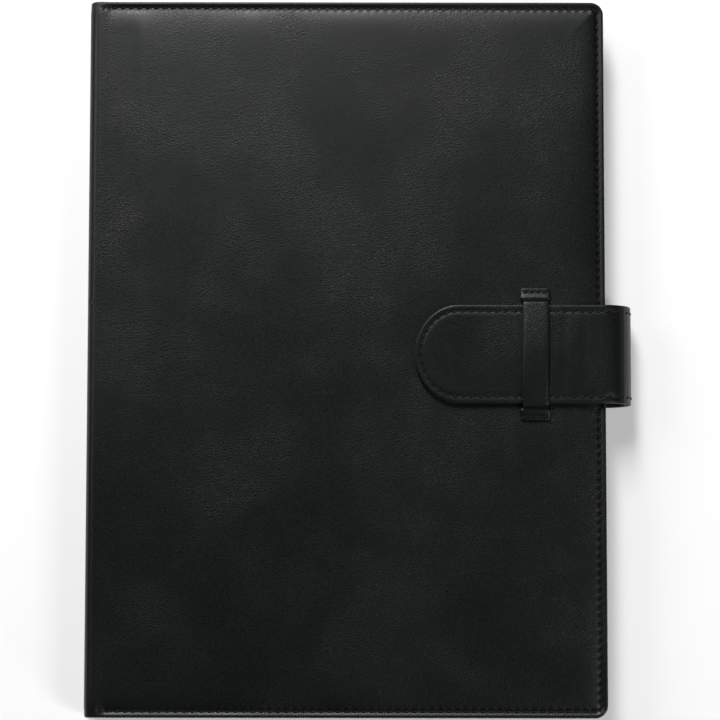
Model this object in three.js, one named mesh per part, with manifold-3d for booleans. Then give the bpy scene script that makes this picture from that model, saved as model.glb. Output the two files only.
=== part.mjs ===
// A5 leather notebook cover, closed, lying on its back: padded front and back panels joined by a
// spine panel, a strap that comes out of the back panel, turns round the fore-edge and slips under
// a keeper loop on the front, and a sewn refill notebook tucked into sleeves inside.
// Millimetres. +Z is up through the front panel, +X points to the fore-edge, +Y to the head.
// The origin is the middle of the back panel's outer face.
import * as THREE from 'three';
import { mergeVertices } from 'three/addons/utils/BufferGeometryUtils.js';
import Module from 'manifold-3d';

const wasm = await Module();
wasm.setup();

// Driving dimensions
const coverWidth = 160; // spine face to fore-edge
const coverHeight = 222; // tail to head
const cornerRadius = 4; // fore-edge corners
const gap = 0.3; // air between neighbouring pieces

const leather = 1.2;
const padding = 0.8;
const board = 1.2;
const lining = 0.6;
const card = 0.4; // notebook's own card cover
const sleeve = 0.5;
const leaves = 2.1; // half of the notebook's leaves
const spineBoard = 0.8;

const rimWidth = 5; // turned edge of a panel, in which the seam runs
const liningInset = 1; // lining stops short of the panel's edge
const notebookHeadMargin = 6; // notebook to panel edge, at head and tail
const notebookForeMargin = 8; // notebook to panel edge, at the fore-edge
const sleeveReach = 86; // sleeve from its fore-edge side towards the spine
const sleeveSeam = 4; // sewn border of a sleeve

const threadWidth = 0.6;
const threadHeight = 0.35;
const threadRecess = 0.05; // top of the thread below the leather
const seamInset = 2; // seam to panel edge
const seamSpineInset = 7; // the seam stops short of the spine

const strapWidth = 30.5;
const strapCentre = 0.4; // strap's middle above the cover's middle
const strapReach = 59; // tongue's tip to fore-edge
const strapTipLength = 13.8; // length of the rounded tip
const strapOuterPly = 1.2;
const strapInnerPly = 0.8;
const strapSeamInset = 2.1;
const strapAnchorDepth = 14; // strap's tail inside the back panel
const anchorSeamMargin = 3; // box seam to the ends of the strap's tail
const bendSetback = 0.7; // centre of the strap's bend inside the fore-edge
const bendSteps = 4; // hinge lines that the half turn is shared between

const keeperInset = 21.8; // keeper's middle to fore-edge
const keeperWidth = 8.1;
const keeperTabWidth = 9.3;
const keeperTabLength = 3.1;
const keeperBand = 1.2;
const keeperSideRoom = 0.8; // beside the strap, each side
const keeperShoulder = 1.4; // rounding of the band's outer shoulders
const keeperSeamEnd = 1.2; // tab seam to the tab's sides

// Sizes that follow
const panelDepth = leather + gap + padding + gap + board;
const liningDepth = panelDepth + gap;
const cardDepth = liningDepth + lining + gap;
const sleeveDepth = cardDepth + card + gap;
const leavesDepth = sleeveDepth + sleeve + gap;
const thickness = 2 * (leavesDepth + leaves + gap / 2);
const spineX = -coverWidth / 2;
const foreX = coverWidth / 2;
const spineDepth = leather + gap + spineBoard + gap + lining;
const mitreGap = gap / Math.SQRT2;
const notebookSpineX = spineX + spineDepth + 2 * gap;
const groove = threadRecess + threadHeight + gap;
const strapPly = strapOuterPly + gap + strapInnerPly;
const bendX = foreX - bendSetback;
const bendInner = (thickness + gap - panelDepth) / 2;
const bendZ = panelDepth + bendInner;
const bendOuter = bendInner + strapPly;
const strapLow = strapCentre - strapWidth / 2;
const strapHigh = strapCentre + strapWidth / 2;
const tipX = foreX - strapReach;
const anchorX = foreX - strapAnchorDepth;

// Materials
const blackLeather = () => new THREE.MeshStandardMaterial({ color: 0x161817, roughness: 0.5 });
const innerLeather = () => new THREE.MeshStandardMaterial({ color: 0x1c1b1a, roughness: 0.75 });
const blackCloth = () => new THREE.MeshStandardMaterial({ color: 0x202122, roughness: 0.95 });
const blackThread = () => new THREE.MeshStandardMaterial({ color: 0x2c2f2e, roughness: 0.7 });
const foam = () => new THREE.MeshStandardMaterial({ color: 0x6b6b68, roughness: 1 });
const greyBoard = () => new THREE.MeshStandardMaterial({ color: 0x8d8a82, roughness: 0.9 });
const darkCard = () => new THREE.MeshStandardMaterial({ color: 0x3b3c40, roughness: 0.8 });
const ivoryPaper = () => new THREE.MeshStandardMaterial({ color: 0xe9e3d2, roughness: 0.9 });

// A solid for cutting and joining, from a closed three.js geometry
function solid(geometry) {
  const bare = geometry.clone();
  bare.deleteAttribute('normal');
  bare.deleteAttribute('uv');
  const merged = mergeVertices(bare, 1e-5);
  return new wasm.Manifold(new wasm.Mesh({
    numProp: 3,
    vertProperties: Float32Array.from(merged.attributes.position.array),
    triVerts: Uint32Array.from(merged.index.array),
  }));
}

// A three.js mesh from a solid
function named(name, body, material) {
  const { vertProperties, triVerts } = body.getMesh();
  const geometry = new THREE.BufferGeometry();
  geometry.setAttribute('position', new THREE.BufferAttribute(vertProperties, 3));
  geometry.setIndex(new THREE.BufferAttribute(triVerts, 1));
  geometry.computeVertexNormals();
  const mesh = new THREE.Mesh(geometry, material);
  mesh.name = name;
  return mesh;
}

// An outline in plan, extruded between two heights
function slab(outline, low, high) {
  const geometry = new THREE.ExtrudeGeometry(outline, {
    depth: high - low,
    bevelEnabled: false,
    curveSegments: 8,
  });
  return solid(geometry.translate(0, 0, low));
}

// A profile drawn in X and Z, extruded along Y
function alongY(profile, low, high) {
  const geometry = new THREE.ExtrudeGeometry(profile, {
    depth: high - low,
    bevelEnabled: false,
    curveSegments: 8,
  });
  return solid(geometry.rotateX(Math.PI / 2).translate(0, high, 0));
}

// A profile drawn in Y and Z, extruded along X
function alongX(profile, low, high) {
  const geometry = new THREE.ExtrudeGeometry(profile, {
    depth: high - low,
    bevelEnabled: false,
    curveSegments: 4,
  });
  const turn = new THREE.Matrix4().makeBasis(
    new THREE.Vector3(0, 1, 0),
    new THREE.Vector3(0, 0, 1),
    new THREE.Vector3(1, 0, 0),
  );
  return solid(geometry.applyMatrix4(turn).translate(low, 0, 0));
}

function rectangle(left, right, low, high) {
  return new THREE.Shape([
    new THREE.Vector2(left, low),
    new THREE.Vector2(right, low),
    new THREE.Vector2(right, high),
    new THREE.Vector2(left, high),
  ]);
}

// A panel's outline with rounded fore-edge corners, drawn in from its three free edges
function panelOutline(inset, left) {
  const right = foreX - inset;
  const high = coverHeight / 2 - inset;
  const radius = Math.max(cornerRadius - inset, 1);
  const outline = new THREE.Shape();
  outline.moveTo(left, -high);
  outline.lineTo(right - radius, -high);
  outline.absarc(right - radius, -high + radius, radius, -Math.PI / 2, 0);
  outline.lineTo(right, high - radius);
  outline.absarc(right - radius, high - radius, radius, 0, Math.PI / 2);
  outline.lineTo(left, high);
  outline.closePath();
  return outline;
}

// The strap's outline in plan, with its rounded tip
function strapOutline(inset, right) {
  const tipRadiusX = strapTipLength - inset;
  const tipRadiusY = strapWidth / 2 - inset;
  const outline = new THREE.Shape();
  outline.moveTo(right, strapHigh - inset);
  outline.lineTo(tipX + strapTipLength, strapHigh - inset);
  outline.absellipse(tipX + strapTipLength, strapCentre, tipRadiusX, tipRadiusY,
    Math.PI / 2, 1.5 * Math.PI, false, 0);
  outline.lineTo(right, strapLow + inset);
  outline.closePath();
  return outline;
}

// A side of the cover turns depths below its outer face into heights
const back = (depth) => depth;
const front = (depth) => thickness - depth;

function layer(side, outline, from, to) {
  return slab(outline, Math.min(side(from), side(to)), Math.max(side(from), side(to)));
}

// A seam's thread, or the groove that it lies in, as a band that follows a family of outlines
function seamBand(side, outlineAt, inset, width, from, to) {
  const outer = layer(side, outlineAt(inset - width / 2), from, to);
  const inner = layer(side, outlineAt(inset + width / 2), from - 1, to + 1);
  return outer.subtract(inner);
}

function seamThread(side, outlineAt, inset, limit) {
  const band = seamBand(side, outlineAt, inset, threadWidth,
    threadRecess, threadRecess + threadHeight);
  return band.intersect(layer(side, limit(0), -1, groove + 1));
}

function seamGroove(side, outlineAt, inset, limit) {
  const band = seamBand(side, outlineAt, inset, threadWidth + 2 * gap, -1, groove);
  return band.intersect(layer(side, limit(gap), -2, groove + 1));
}

const panelSeamOutline = (inset) => panelOutline(inset, spineX);
const panelSeamLimit = (room) => rectangle(
  spineX + seamSpineInset - room, foreX, -coverHeight / 2, coverHeight / 2);

// The mitre that a panel and the spine share, so that both can turn outwards
function mitre(side) {
  const reach = panelDepth + 2;
  const line = spineX + mitreGap;
  const wedge = new THREE.Shape([
    new THREE.Vector2(line - 1, side(-1)),
    new THREE.Vector2(line + reach, side(reach)),
    new THREE.Vector2(line - 1, side(reach)),
  ]);
  return alongY(wedge, -coverHeight / 2 - 1, coverHeight / 2 + 1);
}

// Where the strap's tail lies inside the back panel
const strapPocket = slab(
  rectangle(anchorX - gap, foreX + 1, strapLow - gap, strapHigh + gap), leather, panelDepth + 1);

// Outer leather of a panel: a shallow tray whose turned edge meets the lining
function panelLeather(side) {
  const tray = layer(side, panelOutline(0, spineX), 0, panelDepth);
  const hollow = layer(side, panelOutline(rimWidth, spineX + panelDepth + rimWidth),
    leather, panelDepth + 1);
  return tray
    .subtract(hollow)
    .subtract(mitre(side))
    .subtract(seamGroove(side, panelSeamOutline, seamInset, panelSeamLimit));
}

const fillOutline = panelOutline(rimWidth + gap, spineX + panelDepth + rimWidth + gap);
const liningOutline = panelOutline(liningInset, spineX + liningDepth + lining + mitreGap);

function panelPadding(side) {
  return layer(side, fillOutline, leather + gap, leather + gap + padding);
}

function panelBoard(side) {
  return layer(side, fillOutline, panelDepth - board, panelDepth);
}

function panelLining(side) {
  return layer(side, liningOutline, liningDepth, liningDepth + lining);
}

// Sleeve: a sheet sewn down on three sides and open towards the spine
const notebookX = foreX - notebookForeMargin;
const notebookY = coverHeight / 2 - notebookHeadMargin;

function panelSleeve(side) {
  const right = notebookX + gap + sleeveSeam;
  const high = notebookY + gap + sleeveSeam / 2;
  const sheet = layer(side, rectangle(right - sleeveReach, right, -high, high),
    cardDepth, sleeveDepth + sleeve);
  const pocket = layer(side,
    rectangle(right - sleeveReach - 1, notebookX + gap, -notebookY - gap, notebookY + gap),
    cardDepth - 1, sleeveDepth);
  return sheet.subtract(pocket);
}

const notebookOutline = rectangle(notebookSpineX, notebookX, -notebookY, notebookY);

function notebookCard(side) {
  return layer(side, notebookOutline, cardDepth, cardDepth + card);
}

function notebookLeaves(side) {
  return layer(side, notebookOutline, leavesDepth, leavesDepth + leaves);
}

// Spine: three layers with mitred ends
function spineLayer(from, to) {
  const profile = new THREE.Shape([
    new THREE.Vector2(spineX + from, from + mitreGap),
    new THREE.Vector2(spineX + to, to + mitreGap),
    new THREE.Vector2(spineX + to, thickness - to - mitreGap),
    new THREE.Vector2(spineX + from, thickness - from - mitreGap),
  ]);
  return profile;
}

const spineHigh = coverHeight / 2;
const spineLeather = alongY(spineLayer(0, leather), -spineHigh, spineHigh);
const spineStiffener = alongY(spineLayer(leather + gap, leather + gap + spineBoard),
  -spineHigh + rimWidth, spineHigh - rimWidth);
const spineLining = alongY(spineLayer(spineDepth - lining, spineDepth),
  -spineHigh + liningInset, spineHigh - liningInset);

// Strap: two plies, cut where the hinge lines cross its half turn round the fore-edge
const stepAngle = Math.PI / bendSteps;
const cutHalfAngle = gap / 2 / bendOuter;

function bendPly(inner, outer, from, to) {
  const band = new THREE.Shape();
  band.absarc(bendX, bendZ, outer, from, to, false);
  band.absarc(bendX, bendZ, inner, to, from, true);
  band.closePath();
  return alongY(band, strapLow, strapHigh);
}

function bendSegment(number, inner, outer) {
  const from = -Math.PI / 2 + (number - 0.5) * stepAngle;
  return bendPly(inner, outer, from + cutHalfAngle, from + stepAngle - cutHalfAngle);
}

function anchorPly(inner, outer) {
  const end = -Math.PI / 2 + stepAngle / 2 - cutHalfAngle;
  const profile = new THREE.Shape();
  profile.moveTo(anchorX, bendZ - outer);
  profile.lineTo(bendX, bendZ - outer);
  profile.absarc(bendX, bendZ, outer, -Math.PI / 2, end, false);
  profile.absarc(bendX, bendZ, inner, end, -Math.PI / 2, true);
  profile.lineTo(anchorX, bendZ - inner);
  profile.closePath();
  return alongY(profile, strapLow, strapHigh);
}

function tonguePly(inner, outer) {
  const start = Math.PI / 2 - stepAngle / 2 + cutHalfAngle;
  const profile = new THREE.Shape();
  profile.moveTo(tipX - 1, bendZ + inner);
  profile.lineTo(bendX, bendZ + inner);
  profile.absarc(bendX, bendZ, inner, Math.PI / 2, start, true);
  profile.absarc(bendX, bendZ, outer, start, Math.PI / 2, false);
  profile.lineTo(tipX - 1, bendZ + outer);
  profile.closePath();
  const outline = slab(strapOutline(0, bendX + bendOuter), thickness - strapPly, thickness + 2 * strapPly);
  return alongY(profile, strapLow - 1, strapHigh + 1).intersect(outline);
}

// The tongue's seam runs down both edges and round the tip, on top of the outer ply
const tongueFace = bendZ + bendOuter;
const tongueSide = (depth) => tongueFace - depth;
const strapSeamOutline = (inset) => strapOutline(inset, bendX + 1);
const strapSeamLimit = (room) => rectangle(tipX - 1, bendX + room, strapLow, strapHigh);
const tongueLeather = tonguePly(bendOuter - strapOuterPly, bendOuter)
  .subtract(seamGroove(tongueSide, strapSeamOutline, strapSeamInset, strapSeamLimit));
const tongueThread = seamThread(tongueSide, strapSeamOutline, strapSeamInset, strapSeamLimit);

// The strap's tail is held by a box seam through the back panel
const boxSeamOutline = (inset) => rectangle(
  anchorX + inset, foreX - rimWidth - inset + anchorSeamMargin, strapLow + inset, strapHigh - inset);
const everywhere = () => rectangle(spineX, foreX, -coverHeight / 2, coverHeight / 2);
const anchorThread = seamThread(back, boxSeamOutline, anchorSeamMargin, everywhere);

// Keeper: a band over the strap whose ends are sewn down on the front panel
const keeperX = foreX - keeperInset;
const keeperHalf = strapWidth / 2 + keeperSideRoom;
const keeperFoot = thickness + gap;
const keeperRoof = keeperFoot + strapPly + gap;
const tabEnd = keeperHalf + keeperBand + keeperTabLength;

function keeperProfile() {
  const out = keeperHalf + keeperBand;
  const top = keeperRoof + keeperBand;
  const tab = keeperFoot + keeperBand;
  const at = (y) => strapCentre + y;
  const profile = new THREE.Shape();
  profile.moveTo(at(-tabEnd), keeperFoot);
  profile.lineTo(at(-keeperHalf), keeperFoot);
  profile.lineTo(at(-keeperHalf), keeperRoof);
  profile.lineTo(at(keeperHalf), keeperRoof);
  profile.lineTo(at(keeperHalf), keeperFoot);
  profile.lineTo(at(tabEnd), keeperFoot);
  profile.lineTo(at(tabEnd), tab);
  profile.lineTo(at(out), tab);
  profile.lineTo(at(out), top - keeperShoulder);
  profile.quadraticCurveTo(at(out), top, at(out - keeperShoulder), top);
  profile.lineTo(at(-out + keeperShoulder), top);
  profile.quadraticCurveTo(at(-out), top, at(-out), top - keeperShoulder);
  profile.lineTo(at(-out), tab);
  profile.lineTo(at(-tabEnd), tab);
  profile.closePath();
  return profile;
}

const keeperTabFace = keeperFoot + keeperBand;
const tabSide = (depth) => keeperTabFace - depth;

function tabRow(end, width, length, from, to) {
  const middle = strapCentre + end * (tabEnd - keeperTabLength / 2);
  return layer(tabSide, rectangle(
    keeperX - length / 2, keeperX + length / 2, middle - width / 2, middle + width / 2), from, to);
}

function tabPlate(end) {
  const near = strapCentre + end * (keeperHalf + keeperBand / 2);
  const far = strapCentre + end * tabEnd;
  return slab(rectangle(keeperX - keeperTabWidth / 2, keeperX + keeperTabWidth / 2,
    Math.min(near, far), Math.max(near, far)), keeperFoot, keeperTabFace);
}

const tabSeamLength = keeperTabWidth - 2 * keeperSeamEnd;
const keeperThread = (end) => tabRow(
  end, threadWidth, tabSeamLength, threadRecess, threadRecess + threadHeight);
const keeperGroove = (end) => tabRow(
  end, threadWidth + 2 * gap, tabSeamLength + 2 * gap, -1, groove);
const keeperLoop = alongX(keeperProfile(), keeperX - keeperWidth / 2, keeperX + keeperWidth / 2)
  .add(tabPlate(1))
  .add(tabPlate(-1))
  .subtract(keeperGroove(1))
  .subtract(keeperGroove(-1));

// Assembly
const backPanel = new THREE.Group();
backPanel.add(
  named('back_leather', panelLeather(back)
    .subtract(strapPocket)
    .subtract(seamGroove(back, boxSeamOutline, anchorSeamMargin, everywhere)), blackLeather()),
  named('back_padding', panelPadding(back).subtract(strapPocket), foam()),
  named('back_board', panelBoard(back).subtract(strapPocket), greyBoard()),
  named('back_lining', panelLining(back), blackCloth()),
  named('back_sleeve', panelSleeve(back), innerLeather()),
  named('back_edge_thread', seamThread(back, panelSeamOutline, seamInset, panelSeamLimit),
    blackThread()),
  named('strap_anchor_thread', anchorThread, blackThread()),
);

const spinePanel = new THREE.Group();
spinePanel.add(
  named('spine_leather', spineLeather, blackLeather()),
  named('spine_stiffener', spineStiffener, greyBoard()),
  named('spine_lining', spineLining, blackCloth()),
);

const frontPanel = new THREE.Group();
frontPanel.add(
  named('front_leather', panelLeather(front), blackLeather()),
  named('front_padding', panelPadding(front), foam()),
  named('front_board', panelBoard(front), greyBoard()),
  named('front_lining', panelLining(front), blackCloth()),
  named('front_sleeve', panelSleeve(front), innerLeather()),
  named('front_edge_thread', seamThread(front, panelSeamOutline, seamInset, panelSeamLimit),
    blackThread()),
  named('keeper_loop', keeperLoop, blackLeather()),
  named('keeper_head_thread', keeperThread(1), blackThread()),
  named('keeper_tail_thread', keeperThread(-1), blackThread()),
);

const strap = new THREE.Group();
strap.add(
  named('strap_anchor_leather', anchorPly(bendOuter - strapOuterPly, bendOuter), blackLeather()),
  named('strap_anchor_lining', anchorPly(bendInner, bendInner + strapInnerPly), innerLeather()),
  named('strap_tongue_leather', tongueLeather, blackLeather()),
  named('strap_tongue_lining', tonguePly(bendInner, bendInner + strapInnerPly), innerLeather()),
  named('strap_tongue_thread', tongueThread, blackThread()),
);
for (let number = 1; number < bendSteps; number += 1) {
  strap.add(
    named(`strap_bend_${number}_leather`,
      bendSegment(number, bendOuter - strapOuterPly, bendOuter), blackLeather()),
    named(`strap_bend_${number}_lining`,
      bendSegment(number, bendInner, bendInner + strapInnerPly), innerLeather()),
  );
}

const notebook = new THREE.Group();
notebook.add(
  named('notebook_back_card', notebookCard(back), darkCard()),
  named('notebook_back_leaves', notebookLeaves(back), ivoryPaper()),
  named('notebook_front_leaves', notebookLeaves(front), ivoryPaper()),
  named('notebook_front_card', notebookCard(front), darkCard()),
);

const notebookCover = new THREE.Group();
notebookCover.add(backPanel, spinePanel, frontPanel, strap, notebook);

export default notebookCover;
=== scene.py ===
import math

import bmesh
import bpy
import numpy as np
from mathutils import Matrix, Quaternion, Vector, noise


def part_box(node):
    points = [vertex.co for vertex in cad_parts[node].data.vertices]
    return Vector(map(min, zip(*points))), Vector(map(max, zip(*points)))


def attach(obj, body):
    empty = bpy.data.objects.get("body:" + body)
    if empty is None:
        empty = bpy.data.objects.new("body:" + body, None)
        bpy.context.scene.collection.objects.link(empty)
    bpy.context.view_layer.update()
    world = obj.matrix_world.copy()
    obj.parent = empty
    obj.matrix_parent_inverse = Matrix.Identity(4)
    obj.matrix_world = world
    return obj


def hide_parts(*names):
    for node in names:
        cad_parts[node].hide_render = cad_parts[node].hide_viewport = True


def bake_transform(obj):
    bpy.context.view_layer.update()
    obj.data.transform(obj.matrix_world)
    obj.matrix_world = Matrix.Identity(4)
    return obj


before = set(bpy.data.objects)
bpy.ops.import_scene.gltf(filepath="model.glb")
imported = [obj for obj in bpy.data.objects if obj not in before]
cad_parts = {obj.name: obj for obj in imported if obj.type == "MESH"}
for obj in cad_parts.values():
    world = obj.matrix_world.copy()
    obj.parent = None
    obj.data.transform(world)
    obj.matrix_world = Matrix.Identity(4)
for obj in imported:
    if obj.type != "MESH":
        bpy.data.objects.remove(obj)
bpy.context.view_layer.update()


# The room: a plain pale floor, soft studio light and a camera that looks almost straight down. One
# softbox stands beyond the head and a window light to the left. Smaller lights at the right and the
# tail pick out the strap, the fore-edge and the tail's seam.

SPINE_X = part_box("spine_leather")[0][0]
FORE_X, HEAD_Y, TOP_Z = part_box("front_leather")[1]


def new_material(name, roughness):
    """A material and its shader, with one roughness."""
    material = bpy.data.materials.new(name)
    material.use_nodes = True
    shader = material.node_tree.nodes["Principled BSDF"]
    shader.inputs["Roughness"].default_value = roughness
    return material, shader


def mesh_object(name, points, faces, smooth_angle=None):
    """An object from points and faces, smooth where its faces meet flatter than the angle."""
    mesh = bpy.data.meshes.new(name)
    mesh.from_pydata([tuple(p) for p in points], [], [tuple(f) for f in faces])
    mesh.validate()
    mesh.update()
    piece = bpy.data.objects.new(name, mesh)
    bpy.context.scene.collection.objects.link(piece)
    if smooth_angle is not None:
        mesh.shade_smooth()
        mesh.set_sharp_from_angle(angle=smooth_angle)
    return piece


FLOOR_REACH = 3.0
floor = mesh_object("floor", [(x * FLOOR_REACH, y * FLOOR_REACH, 0) for x, y in (
    (-1, -1), (1, -1), (1, 1), (-1, 1))], [(0, 1, 2, 3)])
floor_paper, shader = new_material("floor_paper", 0.9)
shader.inputs["Base Color"].default_value = (0.88, 0.88, 0.88, 1)
shader.inputs["Emission Color"].default_value = (1, 1, 1, 1)
shader.inputs["Emission Strength"].default_value = 0.26
floor.data.materials.append(floor_paper)


def softbox(name, place, aim, width, height, power):
    """A rectangular area light at a place, turned towards a point."""
    light = bpy.data.lights.new(name, "AREA")
    light.shape = "RECTANGLE"
    light.size = width
    light.size_y = height
    light.energy = power
    lamp = bpy.data.objects.new(name, light)
    lamp.location = place
    lamp.rotation_euler = (Vector(aim) - Vector(place)).to_track_quat("-Z", "Y").to_euler()
    bpy.context.scene.collection.objects.link(lamp)


softbox("head_softbox", (-0.12, 0.66, 0.72), (-0.08, 0.1, 0), 0.2, 0.5, 7.2)
softbox("window", (-0.8, 0.45, 0.75), (0, 0, 0), 0.6, 0.5, 3.5)
softbox("fore_strip", (0.7, -0.7, 0.4), (0.05, -0.05, 0), 0.3, 0.6, 1.4)
softbox("corner_glint", (0.58, -0.38, 0.85), (0.08, -0.08, 0), 0.16, 0.38, 2.2)
softbox("tail_fill", (-0.3, -1.1, 0.3), (0, 0, 0), 1.2, 0.3, 1.5)

world = bpy.data.worlds.new("studio")
world.use_nodes = True
sky = world.node_tree.nodes["Background"]
sky.inputs["Color"].default_value = (0.9, 0.94, 0.95, 1)
sky.inputs["Strength"].default_value = 0.012
bpy.context.scene.world = world
bpy.context.scene.view_settings.view_transform = "Standard"

CAMERA_HEIGHT = 0.918          # above the front panel
CAMERA_Y = -0.0968
CAMERA_ROLL = 0.0015
CAMERA_AIM = Vector((0.0, -0.0014, TOP_Z))
camera_data = bpy.data.cameras.new("camera")
camera_data.sensor_width = 36
camera_data.lens = 149.8
camera_data.shift_x = 0.0191
camera_data.clip_start = 0.01
camera = bpy.data.objects.new("camera", camera_data)
camera.location = (0.0, CAMERA_Y, TOP_Z + CAMERA_HEIGHT)
look = (CAMERA_AIM - camera.location).to_track_quat("-Z", "Y")
camera.rotation_euler = (look @ Quaternion((0, 0, 1), CAMERA_ROLL)).to_euler()
bpy.context.scene.collection.objects.link(camera)
bpy.context.scene.camera = camera


# Cover leather: one skin of black full-grain leather over each panel and half of the spine, skived,
# turned in at its edges and sewn through. Inside the seam it is puffed up by thin foam. The back
# half and the front half meet along the middle of the spine.

LEATHER = 0.0012
RIM_DEPTH = 0.0036             # turned edge, from the outer face to the lining
RIM_WIDTH = 0.005
SEAM_INSET = 0.002
SEAM_SPINE_INSET = 0.0038
STITCH_PITCH = 0.0026
MARGIN_DROP = 0.0007           # the sewn margin below the padded middle
MARGIN_RISE = 0.0003           # the margin stands up a little towards its turned edge
MARGIN_REACH = 0.002           # how soon the leather starts to rise beside the seam
PUFF_REACH = 0.0038            # and how slowly the padding carries it on
PULL = 0.28                    # how unevenly the seam draws the leather down
EDGE_ROUND = 0.0007            # rounding of the leather's folded and cut edges
GROOVE_DEPTH = 0.00022         # the seam lies in a shallow groove
GROOVE_WIDTH = 0.0005
SWELL = 0.00006                # slow unevenness of the padding
RIPPLE = 0.00005
BACK_SINK = 0.00009            # the back's face stays clear of the table between its edges
CORNER_RADIUS = 0.004
SPINE_RADIUS = 0.003
HINGE_GUTTER = 0.015           # the padding starts this far from the spine's face
GUTTER_EASE = 0.0022
GUTTER_DIP = 0.00014
GUTTER_RIDGE = 0.00003         # low ridge beside the gutter, towards the head
SPINE_EDGE_DIP = 0.00012
SPINE_RIM_DEPTH = 0.0026
HINGE_RIM_DEPTH = 0.0019       # the turned edge is pared thin where it has to fold

half_spine = TOP_Z / 2 - SPINE_RADIUS
panel_start = half_spine + math.pi / 2 * SPINE_RADIUS
wrap_length = panel_start + (FORE_X - SPINE_X - SPINE_RADIUS)


def wrap_place(run, depth):
    """X and Z of a point of the front half, at a run from the spine's middle and a depth."""
    if run < half_spine:
        return SPINE_X + depth, TOP_Z / 2 + run
    if run < panel_start:
        angle = (run - half_spine) / SPINE_RADIUS
        reach = SPINE_RADIUS - depth
        return (SPINE_X + SPINE_RADIUS - reach * math.cos(angle),
                TOP_Z - SPINE_RADIUS + reach * math.sin(angle))
    return SPINE_X + SPINE_RADIUS + run - panel_start, TOP_Z - depth


def smooth(low, high, value):
    """0 up to low and 1 from high on, with an even curve between them."""
    t = min(max((value - low) / (high - low), 0), 1)
    return t * t * (3 - 2 * t)


def bump(value, middle, width):
    """A round hump of height 1 about a middle."""
    return math.exp(-((value - middle) / width) ** 2)


def marks(stops):
    """Numbers from a list of (start, end, step) stretches, ends included once."""
    values = []
    for start, end, step in stops:
        count = max(round(abs(end - start) / step), 1)
        values += [start + (end - start) * k / count for k in range(count)]
    return values + [stops[-1][1]]


def round_corner(u, v, radius):
    """Moves a point of a square corner, given from the round corner's centre, to the round one."""
    return (u * math.sqrt(1 - (v / radius) ** 2 / 2), v * math.sqrt(1 - (u / radius) ** 2 / 2))


def edge_distance(run, y):
    """Distance of a point to the nearest free edge, and the point moved for the round corner."""
    from_fore = wrap_length - run
    from_end = HEAD_Y - abs(y)
    u = CORNER_RADIUS - from_fore
    v = CORNER_RADIUS - from_end
    if u > 0 and v > 0:
        u, v = round_corner(u, v, CORNER_RADIUS)
        run = wrap_length - CORNER_RADIUS + u
        y = math.copysign(HEAD_Y - CORNER_RADIUS + v, y)
        return CORNER_RADIUS - math.hypot(u, v), run, y
    return min(from_fore, from_end), run, y


def edge_round(distance):
    """How far a rounded edge falls away at a distance from the edge."""
    edge = max(EDGE_ROUND - distance, 0)
    return EDGE_ROUND - math.sqrt(max(EDGE_ROUND * EDGE_ROUND - edge * edge, 0))


def outer_depth(side, distance, run, y):
    """How far the leather's outer face lies below its nominal face."""
    on_panel = smooth(panel_start, panel_start + 0.004, run)
    pull = 1 + PULL * noise.noise(Vector((run * 34, y * 34, side * 2.3)))
    inward = max(distance - SEAM_INSET, 0) * pull
    margin = MARGIN_DROP * (0.45 * math.exp(-inward / MARGIN_REACH)
                            + 0.55 * math.exp(-inward / PUFF_REACH))
    margin -= MARGIN_RISE * (1 - smooth(0.0005, SEAM_INSET, distance))
    groove = GROOVE_DEPTH * bump(distance, SEAM_INSET, GROOVE_WIDTH)
    x = run - panel_start + SPINE_RADIUS
    gutter = GUTTER_DIP * (1 - smooth(HINGE_GUTTER - GUTTER_EASE, HINGE_GUTTER + GUTTER_EASE, x))
    ridge = -GUTTER_RIDGE * bump(x, HINGE_GUTTER + 0.001, 0.0018) * smooth(-0.06, 0.03, y)
    swell = SWELL * noise.noise(Vector((run * 21, y * 17, side * 3.7)))
    swell += RIPPLE * noise.noise(Vector((run * 70, y * 60, side * 8.1)))
    inside = smooth(0.003, 0.012, distance)
    spine_edge = SPINE_EDGE_DIP * (1 - smooth(0.001, 0.004, distance))
    depth = on_panel * (margin + groove + inside * (gutter + ridge + swell))
    depth += edge_round(distance) + (1 - on_panel) * spine_edge
    return depth + BACK_SINK * inside * on_panel if side < 0 else depth


strap_low, strap_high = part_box("strap_anchor_leather")
SLIT_ROOM = 0.0003             # beside the strap where it comes out of the back panel
SLIT_X = strap_low[0] - SLIT_ROOM
SLIT_LOW = strap_low[1] - SLIT_ROOM
SLIT_HIGH = strap_high[1] + SLIT_ROOM
WALL = 0.0001                  # half of the run in which a thickness changes


def inner_depth(side, distance, run, y):
    """Depth of the leather's inner face: deep along the turned edge, thin over the boards.
    At the back it is thin where the strap's tail goes in as well."""
    x = SPINE_X + SPINE_RADIUS + run - panel_start
    if side < 0 and x > SLIT_X and SLIT_LOW < y < SLIT_HIGH:
        return LEATHER
    rim = SPINE_RIM_DEPTH - (SPINE_RIM_DEPTH - HINGE_RIM_DEPTH) * smooth(0.003, half_spine, run)
    rim += (RIM_DEPTH - HINGE_RIM_DEPTH) * smooth(0.0068, 0.0092, x - SPINE_X)
    turned = 1 - smooth(RIM_WIDTH - WALL, RIM_WIDTH + WALL, distance)
    return LEATHER + (rim - LEATHER) * turned - edge_round(distance)


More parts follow.
